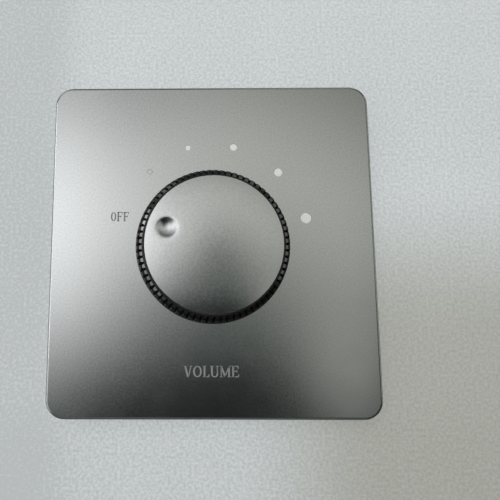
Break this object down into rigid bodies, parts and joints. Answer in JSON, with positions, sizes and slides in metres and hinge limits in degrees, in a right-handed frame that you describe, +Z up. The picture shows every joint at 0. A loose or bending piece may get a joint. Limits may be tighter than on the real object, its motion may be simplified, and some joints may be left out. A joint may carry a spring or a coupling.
{
  "type": "wall volume control",
  "caption": "Flush wall plate with a toothed turning knob that steps a rotary switch and a tapped line transformer, with screw terminals behind.",
  "frame": {"origin": "on the knob axis, in the plane of the wall, midway between the two fixing slots", "axes": "+X to the right seen from the front, +Y into the wall, +Z up; the front looks along -Y"},
  "size_m": [0.086, 0.0551, 0.0886],
  "materials": {
    "plate_metal": "fine sand-blasted grey anodised metal",
    "knob_black": "polished black moulding",
    "frame_plastic": "fine textured black moulding",
    "spring_steel": "bright spring steel",
    "plated_steel": "zinc-plated steel",
    "nickel_brass": "turned brass, nickel flashed",
    "housing_plastic": "glass-filled black nylon",
    "rotor_plastic": "natural acetal",
    "contact_bronze": "phosphor bronze",
    "wafer_laminate": "paper laminate",
    "board_laminate": "green solder mask over glass laminate",
    "core_steel": "varnished silicon-steel laminations",
    "bobbin_plastic": "natural nylon",
    "winding_copper": "enamelled copper wire",
    "coil_tape": "yellow polyester tape",
    "tinned_pin": "tinned wire",
    "terminal_plastic": "green flame-retardant nylon"
  },
  "bodies": {
    "base": {"face_plate": "plate_metal", "mounting_frame": "frame_plastic", "switch_bush": "nickel_brass", "switch_nut": "plated_steel", "lock_washer": "spring_steel", "switch_housing": "housing_plastic", "switch_wafer": "wafer_laminate", "switch_contacts": "tinned_pin", "circuit_board": "board_laminate", "board_screws": "plated_steel", "core_e_stack": "core_steel", "core_i_stack": "core_steel", "coil_bobbin": "bobbin_plastic", "coil_winding": "winding_copper", "coil_tape": "coil_tape", "bobbin_pins": "tinned_pin", "terminal_block": "terminal_plastic", "terminal_clamps": "nickel_brass", "terminal_screws": "plated_steel"},
    "knob": {"knob_body": "knob_black", "knob_cap": "plate_metal", "knob_spring_ring": "spring_steel", "switch_shaft": "plated_steel", "shaft_clip": "spring_steel", "switch_rotor": "rotor_plastic", "detent_balls": "spring_steel", "detent_springs": "spring_steel", "wiper_contact": "contact_bronze"}
  },
  "joints": [
    {"name": "knob_turn", "type": "hinge", "parent": "base", "child": "knob", "pos_m": [0, 0, 0], "axis": [0, 1, 0], "range_deg": [0, 150]}
  ]
}
